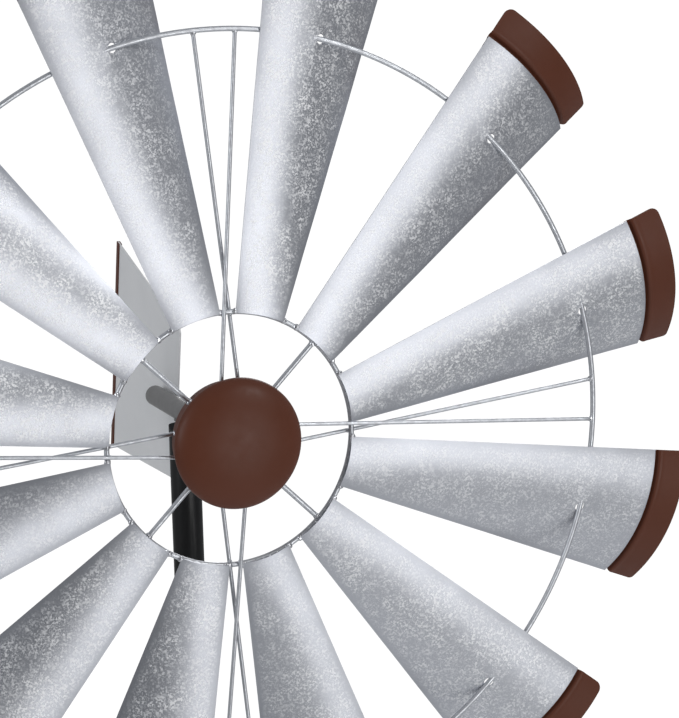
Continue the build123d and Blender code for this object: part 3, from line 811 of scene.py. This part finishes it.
def build_vane():
    """The flared plate with a slight bow, and the strip folded over its far edge."""
    rows, columns = 40, 36
    params = []
    for i in range(rows + 1):
        along = VANE_NEAR + (VANE_FAR - VANE_NEAR) * i / rows
        corner = corner_cut(along - VANE_NEAR, 3 * MM)
        for j in range(columns + 1):
            params.append((along, (2 * j / columns - 1) * (vane_half(along) - corner)))
    points = []
    for along, up in params:
        bow = 0.12 * MM * noise.noise(Vector((along * 20, up * 20, 4.2)))
        points.append(vane_point(along, VANE_RISE + up, bow))
    width = columns + 1
    faces = [(i * width + j, i * width + j + 1, (i + 1) * width + j + 1, (i + 1) * width + j)
             for i in range(rows) for j in range(columns)]
    across_dir = Vector((cos(VANE_ROLL), 0, -sin(VANE_ROLL)))
    verts, skin = thick_sheet(points, [across_dir] * len(points), faces, VANE_T)
    piece("tail_vane", verts, skin, PALE_GREY, "head", ("vane_plate",))
    half = VANE_T / 2
    outer = half + TRIM_SHEET
    start = VANE_FAR - TRIM_WIDTH
    section = [(start, half), (start + 0.2 * MM, outer), (VANE_FAR - 0.2 * MM, outer)]
    for share in spaced(0, 1, 8):
        angle = pi / 2 - pi * share
        section.append((VANE_FAR + TRIM_SHEET * cos(angle), outer * sin(angle)))
    section += [(VANE_FAR - 0.2 * MM, -outer), (start + 0.2 * MM, -outer), (start, -half),
                (VANE_FAR + 0.02 * MM, -half), (VANE_FAR + 0.02 * MM, half)]
    rings = []
    for share in spaced(-1, 1, 30):
        rings.append([vane_point(along, VANE_RISE + share * (vane_half(min(along, VANE_FAR)) + 0.1 * MM), off)
                      for along, off in section])
    shape = Shape()
    shape.loops(rings)
    piece("vane_binding", shape.verts, shape.faces, BROWN, "head",
          ("vane_edge_trim",), sharp=50)
    shape = Shape()
    boom_end = HUB.y + depth_of("boom_tube", 1)
    for side in (-1, 1):
        for index in range(14):
            along = HUB.y + VANE_NEAR + 2 * MM + index * (boom_end - HUB.y - VANE_NEAR - 6 * MM) / 13
            place = Vector((span("boom_tube").z / 2 - 0.5 * MM, along, HUB.z + side * 2.4 * MM))
            lump(shape, place, 1.2 * MM, index + side * 40)
    piece("vane_weld", shape.verts, shape.faces, PALE_GREY, "head")


# ---- pole and stake --------------------------------------------------------------------------
def build_pole():
    pole_r = span("upper_pole").x / 2
    for node in ("lower_pole", "middle_pole", "upper_pole"):
        low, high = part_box(node)
        bore = pole_r - POLE_WALL
        shape = Shape()
        shape.loops(turned_z(sleeve_outline(bore, pole_r, low[2], high[2], 0.5 * MM)), closed=True)
        piece(f"{node}_tube", shape.verts, shape.faces, BLACK, "pole", (node,), sharp=50)


def pan_head(shape, centre, radius, height):
    """A cross-slotted pan head that faces +Y."""
    rings = []
    outline = [(0.55, 1.0), (0.75, 0.93), (0.9, 0.78), (1.0, 0.45), (1.0, 0.0)]
    count = 32
    for reach, lift in [(0.12, 0.35), (0.3, 0.45)] + outline:
        ring = []
        for index in range(count):
            angle = 2 * pi * index / count
            size = reach * radius
            if reach < 0.5:
                size *= 1.25 if index % 8 in (0, 1, 7) else 0.6
            ring.append(centre + Vector((cos(angle) * size, lift * height, sin(angle) * size)))
        rings.append(ring)
    shape.loops(rings)


def build_screws():
    """Pan heads behind the pole, one on each CAD screw."""
    for node in ("pole_screws", "retaining_screw"):
        shape = Shape()
        low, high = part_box(node)
        radius = (high[0] - low[0]) / 2
        heights = [low[2] + radius]
        if node == "pole_screws":
            middle_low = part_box("middle_pole")[0][2]
            upper_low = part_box("upper_pole")[0][2]
            inset = heights[0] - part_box("lower_pole")[0][2]
            heights += [middle_low - inset, middle_low + inset, upper_low - inset, upper_low + inset]
        face = span("upper_pole").x / 2 - 0.4 * MM
        for height in heights:
            pan_head(shape, Vector((0, face, height)), radius, high[1] - face)
            shank = straight(Vector((0, face - 0.2 * MM, height)), Vector((0, low[1] + 0.1 * MM, height)), 3)
            tube(shape, shank, SCREW_R - 0.05 * MM)
        piece(f"{node}_heads", shape.verts, shape.faces, PLATED, "pole", (node,))


def build_stake():
    """The forked rod, the step plate and the weld between them."""
    low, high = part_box("ground_fork")
    radius = (high[1] - low[1]) / 2
    spread = high[0] - radius
    bend = PRONG_BEND_R
    top = -radius
    path = straight(Vector((-spread, 0, low[2] + PRONG_POINT)), Vector((-spread, 0, top - bend)), 6)
    for share in spaced(0, 1, 10)[1:]:
        angle = pi - share * pi / 2
        path.append(Vector((-spread + bend + bend * cos(angle), 0, top - bend + bend * sin(angle))))
    path += straight(Vector((-spread + bend, 0, top)), Vector((spread - bend, 0, top)), 6)[1:]
    for share in spaced(0, 1, 10)[1:]:
        angle = pi / 2 - share * pi / 2
        path.append(Vector((spread - bend + bend * cos(angle), 0, top - bend + bend * sin(angle))))
    path += straight(Vector((spread, 0, top - bend)), Vector((spread, 0, low[2] + PRONG_POINT)), 6)[1:]
    shape = Shape()
    tube(shape, path, radius, segments=24, round_ends=False)
    for side in (-spread, spread):
        rings = []
        for share in (0, 0.5, 0.9, 1.0):
            size = radius * (1 - share) + PRONG_TIP_R * share
            height = low[2] + PRONG_POINT * (1 - share)
            rings.append([Vector((side + cos(2 * pi * k / 24) * size, sin(2 * pi * k / 24) * size, height))
                          for k in range(24)])
        shape.loops(rings)
    piece("fork_rod", shape.verts, shape.faces, BLACK, "pole", ("ground_fork",))
    low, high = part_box("step_plate")
    thick = STEP_T
    corners = [(low[0], low[1]), (high[0], low[1]), (high[0], high[1]), (low[0], high[1])]
    outline = rounded(corners, STEP_CORNER_R, 8)
    shape = Shape()
    rings = []
    for inset, height in ((0.9, 0), (0.25, 0.25), (0, 0.9), (0, 5.1), (0.25, 5.75), (0.9, 6)):
        scale_x = 1 - inset * MM / high[0]
        scale_y = 1 - inset * MM / high[1]
        rings.append([Vector((x * scale_x, y * scale_y, height * MM)) for x, y in outline])
    shape.loops(rings)
    spigot = SPIGOT_R
    column = [(spigot, thick - 1 * MM), (spigot, high[2] - 0.8 * MM), (spigot - 0.8 * MM, high[2])]
    shape.loops([[Vector((cos(2 * pi * k / 48) * r, sin(2 * pi * k / 48) * r, z)) for k in range(48)]
                 for r, z in column])
    piece("step_block", shape.verts, shape.faces, BLACK, "pole", ("step_plate",))
    shape = Shape()
    pole_r = span("lower_pole").x / 2
    for index in range(36):
        angle = radians(index * 10)
        place = Vector((cos(angle) * pole_r, sin(angle) * pole_r, thick + 0.2 * MM))
        lump(shape, place, 1.5 * MM, index + 60)
    for index in range(16):
        for side in (-1, 1):
            place = Vector((-45 * MM + index * 6 * MM, side * 3.2 * MM, -1.4 * MM))
            lump(shape, place, 1.8 * MM, index * 2 + side)
    piece("stake_welds", shape.verts, shape.faces, BLACK, "pole")


# ---- studio ----------------------------------------------------------------------------------
def build_floor():
    """A pale round floor whose rim melts into the white surroundings."""
    rings = [[Vector((cos(2 * pi * k / 96) * r, sin(2 * pi * k / 96) * r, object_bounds()[0][2] - 0.5 * MM))
              for k in range(96)] for r in (4.0, 3.0, 2.0, 1.0, 0.2)]
    shape = Shape()
    shape.loops(rings, caps=False)
    shape.faces.append(tuple(range(4 * 96, 5 * 96)))
    mesh = bpy.data.meshes.new("floor")
    mesh.from_pydata([tuple(point) for point in shape.verts], [], shape.faces)
    recipe = Recipe("pale_floor")
    recipe.shader.inputs["Base Color"].default_value = (0.95, 0.95, 0.95, 1)
    recipe.shader.inputs["Roughness"].default_value = 0.8
    length = recipe.node("ShaderNodeVectorMath", operation="LENGTH")
    recipe.link(recipe.place, length.inputs[0])
    recipe.feed("Alpha", recipe.spread(length.outputs["Value"], 1.2, 3.8, 1, 0))
    mesh.materials.append(recipe.material)
    floor = bpy.data.objects.new("floor", mesh)
    bpy.context.scene.collection.objects.link(floor)


def add_light(name, place, target, size, power, colour=(1, 1, 1)):
    data = bpy.data.lights.new(name, "AREA")
    data.shape = "DISK"
    data.size = size
    data.energy = power
    data.color = colour
    light = bpy.data.objects.new(name, data)
    light.location = place
    light.rotation_mode = "QUATERNION"
    light.rotation_quaternion = (Vector(target) - Vector(place)).to_track_quat("-Z", "Y")
    bpy.context.scene.collection.objects.link(light)


def build_world():
    """White to the eye; what it lights sees bright sides, a dim front and a darker floor."""
    world = bpy.data.worlds.new("studio")
    bpy.context.scene.world = world
    world.use_nodes = True
    nodes, links = world.node_tree.nodes, world.node_tree.links
    seen = nodes["Background"]
    seen.inputs["Color"].default_value = (1, 1, 1, 1)
    seen.inputs["Strength"].default_value = 1.05
    place = nodes.new("ShaderNodeTexCoord")
    apart = nodes.new("ShaderNodeSeparateXYZ")
    links.new(place.outputs["Generated"], apart.inputs["Vector"])
    front = world_range(world, apart.outputs["Y"], (-0.75, -0.2), (0.13, 0.36))
    height = world_range(world, apart.outputs["Z"], (-0.6, 0.8), (0.7, 1.25))
    product = nodes.new("ShaderNodeMath")
    product.operation = "MULTIPLY"
    links.new(front, product.inputs[0])
    links.new(height, product.inputs[1])
    lighting = nodes.new("ShaderNodeBackground")
    lighting.inputs["Color"].default_value = (0.93, 0.955, 1.0, 1)
    links.new(product.outputs["Value"], lighting.inputs["Strength"])
    rays = nodes.new("ShaderNodeLightPath")
    mix = nodes.new("ShaderNodeMixShader")
    links.new(rays.outputs["Is Camera Ray"], mix.inputs["Fac"])
    links.new(lighting.outputs["Background"], mix.inputs[1])
    links.new(seen.outputs["Background"], mix.inputs[2])
    links.new(mix.outputs["Shader"], nodes["World Output"].inputs["Surface"])


def world_range(world, value, given, wanted):
    """A smooth change from one strength to another along a direction."""
    made = world.node_tree.nodes.new("ShaderNodeMapRange")
    made.interpolation_type = "SMOOTHSTEP"
    numbers = (*given, *wanted)
    for name, number in zip(RANGE_SOCKETS, numbers):
        made.inputs[name].default_value = number
    world.node_tree.links.new(value, made.inputs["Value"])
    return made.outputs["Result"]


CAMERA_OFFSET = Vector((-0.4884, -1.4473, 0.3322))      # from the inner ring's centre
CAMERA_YAW = radians(21.071)
CAMERA_PITCH = radians(-10.624)
CAMERA_ROLL = radians(-1.511)
CAMERA_LENS = 134.15
SENSOR_WIDTH = 36


def build_camera():
    data = bpy.data.cameras.new("camera")
    data.lens = CAMERA_LENS
    data.sensor_width = SENSOR_WIDTH
    data.clip_start = 0.05
    camera = bpy.data.objects.new("camera", data)
    forward = Vector((sin(CAMERA_YAW) * cos(CAMERA_PITCH), cos(CAMERA_YAW) * cos(CAMERA_PITCH),
                      sin(CAMERA_PITCH)))
    level = Vector((cos(CAMERA_YAW), -sin(CAMERA_YAW), 0))
    up = level.cross(forward)
    image_right = level * cos(CAMERA_ROLL) + up * sin(CAMERA_ROLL)
    image_up = up * cos(CAMERA_ROLL) - level * sin(CAMERA_ROLL)
    turn = Matrix((image_right, image_up, -forward)).transposed().to_4x4()
    camera.matrix_world = Matrix.Translation(HUB + CAMERA_OFFSET) @ turn
    bpy.context.scene.collection.objects.link(camera)
    bpy.context.scene.camera = camera
    bpy.context.scene.view_settings.view_transform = "Standard"


def build_studio():
    build_floor()
    build_world()
    add_light("front", HUB + Vector((0.85, -2.55, -0.35)), HUB, 1.7, 22)
    add_light("key", HUB + Vector((1.5, -2.0, 1.8)), HUB, 0.6, 20)
    add_light("left", HUB + Vector((-2.4, -0.6, 0.6)), HUB + Vector((0, 0.15, 0)), 1.2, 16, (0.95, 0.97, 1))
    add_light("rear", HUB + Vector((1.5, 2.4, 0.9)), HUB, 1.4, 16)
    build_camera()


dress_cad_nodes()
build_blades()
build_tips()
build_rings()
build_wires()
build_welds()
build_hub()
build_boom()
build_vane()
build_pole()
build_screws()
build_stake()
build_studio()
